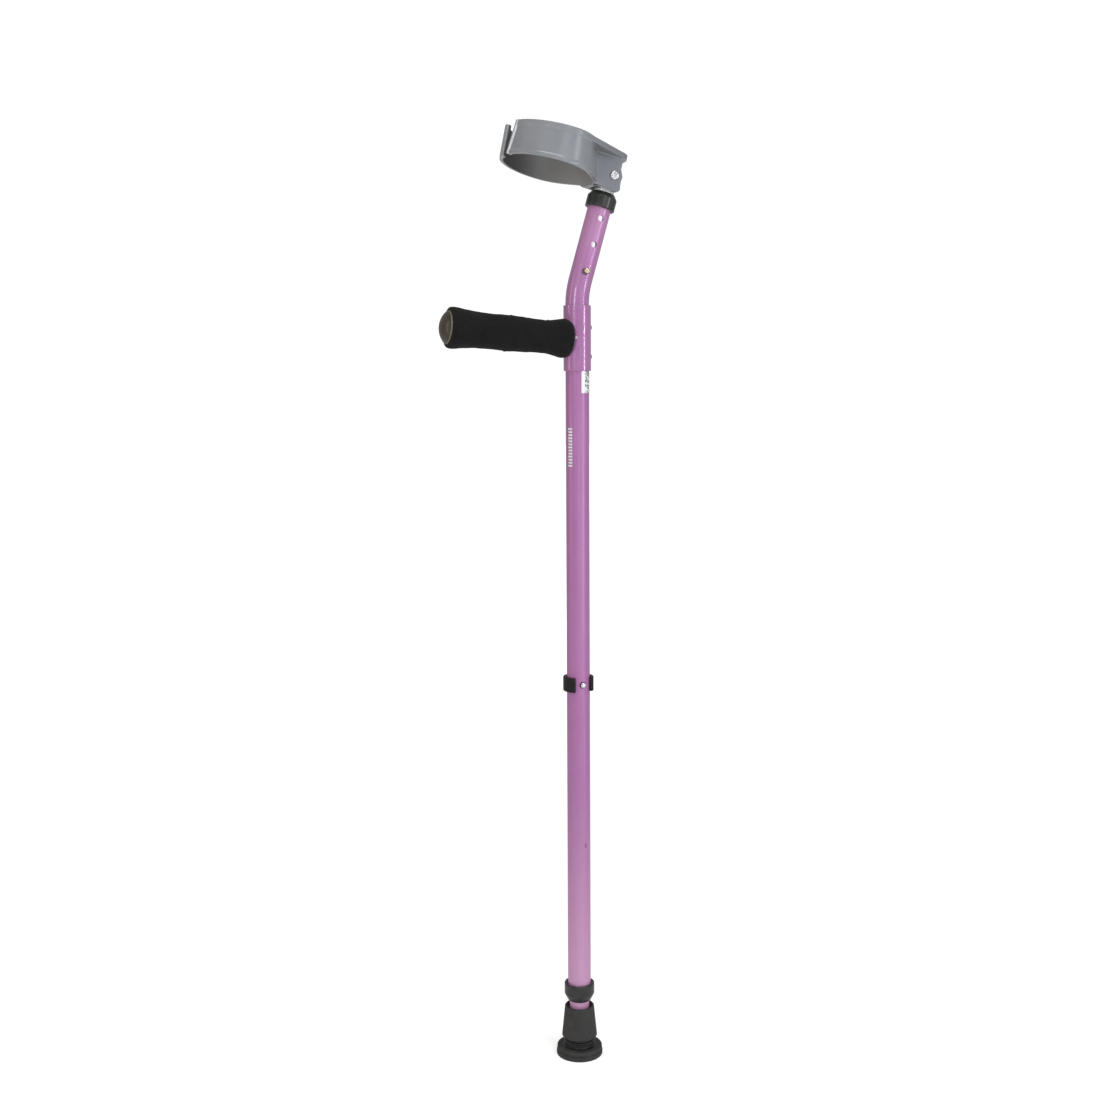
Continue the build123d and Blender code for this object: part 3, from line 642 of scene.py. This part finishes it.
def make_bars():
    """Thin curved plates just proud of the tube."""
    shape = bmesh.new()
    spacing = (BARS_HIGH - BARS_LOW) / (BAR_COUNT - 1)
    half = BAR_SHARE * spacing
    inner, outer = TUBE_RADIUS - BAR_SINK, TUBE_RADIUS + BAR_THICKNESS
    for k in range(BAR_COUNT):
        centre = BARS_LOW + spacing * k
        start = BAR_FROM if k % 3 else BAR_FROM - BAR_EXTRA
        angles = [start + (BAR_TO - start) * j / BAR_STEPS for j in range(BAR_STEPS + 1)]
        corners = ((inner, centre - half), (outer, centre - half), (outer, centre + half), (inner, centre + half))
        rows = [[shape.verts.new((radius * math.cos(angle), radius * math.sin(angle), height)) for angle in angles]
                for radius, height in corners]
        for low, high in zip(rows, rows[1:] + rows[:1]):
            strip(shape, low, high, closed=False)
        for j in (0, BAR_STEPS):
            shape.faces.new([row[j] for row in rows])
    return finished_mesh(shape, "upright_bars")


add_piece("upright_bars", make_bars(), "frame", "label_paper", finish="print_white", smooth=False)


# ---------------------------------------------------------------- camera
# fitted to the photograph: azimuth and tilt, place, focal length and shift as shares of the 1120-pixel image
AZIMUTH = math.radians(-21.6)
BACK = Vector((math.sin(AZIMUTH), -math.cos(AZIMUTH), 0))
RIGHT = Vector((math.cos(AZIMUTH), math.sin(AZIMUTH), 0))
UP = Vector((0, 0, 1))
PHOTO = 1120
FOCUS, SHIFT = 1430 / PHOTO, -65 / PHOTO
SENSOR = 36
CAMERA_BACK, CAMERA_LEFT, CAMERA_Z = 1.3497, 0.0168, 0.6606
PITCH, ROLL = math.radians(4.8), math.radians(0.258)

camera_data = bpy.data.cameras.new("camera")
camera_data.sensor_width = SENSOR
camera_data.lens = SENSOR * FOCUS
camera_data.shift_y = SHIFT
camera_data.clip_end = 60
camera = bpy.data.objects.new("camera", camera_data)
bpy.context.scene.collection.objects.link(camera)
camera.location = BACK * CAMERA_BACK - RIGHT * CAMERA_LEFT + UP * CAMERA_Z
look = -BACK * math.cos(PITCH) - UP * math.sin(PITCH)
upward = UP * math.cos(PITCH) - BACK * math.sin(PITCH)
across = RIGHT * math.cos(ROLL) - upward * math.sin(ROLL)
above = RIGHT * math.sin(ROLL) + upward * math.cos(ROLL)
camera.rotation_euler = Matrix((across, above, -look)).transposed().to_euler()
bpy.context.scene.camera = camera

# ---------------------------------------------------------------- light and floor
# area lights that face the object: name, azimuth from the camera's side (positive to its right) and
# elevation in degrees, distance, size, power, colour and the height they are aimed at
WHITE = (1, 1, 1)
LIGHTS = (
    ("key_strip", 62, 4, 2.4, (0.13, 0.75), 7, (0.93, 0.95, 1.0), 0.78),
    ("window", 32, 24, 2.6, (0.9, 1.2), 9, (0.92, 0.94, 1.0), 0.75),
    ("low_window", 50, 3, 2.4, (0.7, 0.7), 6, (0.90, 0.92, 1.0), 0.0),
    ("left_fill", -72, 10, 2.6, (0.5, 2.0), 7, (1.0, 0.80, 0.72), 0.5),
    ("rim_spark_left", -4, 50, 2.4, (0.08, 0.08), 1.0, WHITE, 0.89),
    ("rim_spark_right", 48, 50, 2.4, (0.08, 0.08), 1.0, WHITE, 0.89),
    ("bend_spark", -26, 9, 2.4, (0.40, 0.50), 6, WHITE, 0.75),
    ("top_light", 15, 68, 2.6, (1.8, 1.8), 14, WHITE, 0.5),
    ("foot_fill", 12, 7, 2.2, (1.4, 0.5), 3.5, WHITE, 0.1),
)
for name, azimuth, elevation, distance, size, power, colour, aim in LIGHTS:
    turn, lift = math.radians(azimuth), math.radians(elevation)
    direction = (BACK * math.cos(turn) + RIGHT * math.sin(turn)) * math.cos(lift) + UP * math.sin(lift)
    light = bpy.data.lights.new(name, "AREA")
    light.shape = "RECTANGLE"
    light.size, light.size_y = size
    light.energy = power
    light.color = colour
    lamp = bpy.data.objects.new(name, light)
    lamp.location = UP * aim + direction * distance
    lamp.rotation_euler = direction.to_track_quat("Z", "Y").to_euler()
    bpy.context.scene.collection.objects.link(lamp)

# the studio: even light on the object, and plain white where the camera sees it
STUDIO_LIGHT, STUDIO_SEEN = 0.37, 1.05
world = bpy.data.worlds.new("white_studio")
world.use_nodes = True
bpy.context.scene.world = world
sky = world.node_tree
seen = sky.nodes.new("ShaderNodeLightPath").outputs["Is Camera Ray"]
brightness = add_node(sky, "ShaderNodeMapRange", [("Value", seen), ("To Min", STUDIO_LIGHT), ("To Max", STUDIO_SEEN)])
put(sky, sky.nodes["Background"].inputs["Strength"], brightness.outputs["Result"])
put(sky, sky.nodes["Background"].inputs["Color"], WHITE)

FLOOR_RADIUS, FLOOR_SEGMENTS = 12, 96
FLOOR_PALE, FLOOR_PALER = (0.93, 0.93, 0.93), (0.95, 0.95, 0.95)
FLOOR_GLOW, GLOW_REACH = (0.50, 0.95), (0.2, 2.5)      # brighter away from the foot
floor_mesh = bpy.data.meshes.new("floor")
shape = bmesh.new()
bmesh.ops.create_circle(shape, cap_ends=True, segments=FLOOR_SEGMENTS, radius=FLOOR_RADIUS)
shape.to_mesh(floor_mesh)
shape.free()
floor = bpy.data.objects.new("floor", floor_mesh)
bpy.context.scene.collection.objects.link(floor)
floor_material, floor_tree, floor_shader = new_material("floor_white")
floor_place = coords(floor_tree)
seen = floor_tree.nodes.new("ShaderNodeLightPath").outputs["Is Camera Ray"]
glow = spread(floor_tree, from_upright(floor_tree, floor_place), *FLOOR_GLOW, *GLOW_REACH)
dress(floor_tree, floor_shader, {
    "Base Color": mix(floor_tree, noise_value(floor_tree, floor_place, 0.4), FLOOR_PALE, FLOOR_PALER),
    "Roughness": 0.9,
    "Specular IOR Level": 0.1,
    "Emission Color": WHITE,
    "Emission Strength": product(floor_tree, glow, seen),
})
floor_mesh.materials.append(floor_material)

bpy.context.scene.view_settings.view_transform = "Standard"
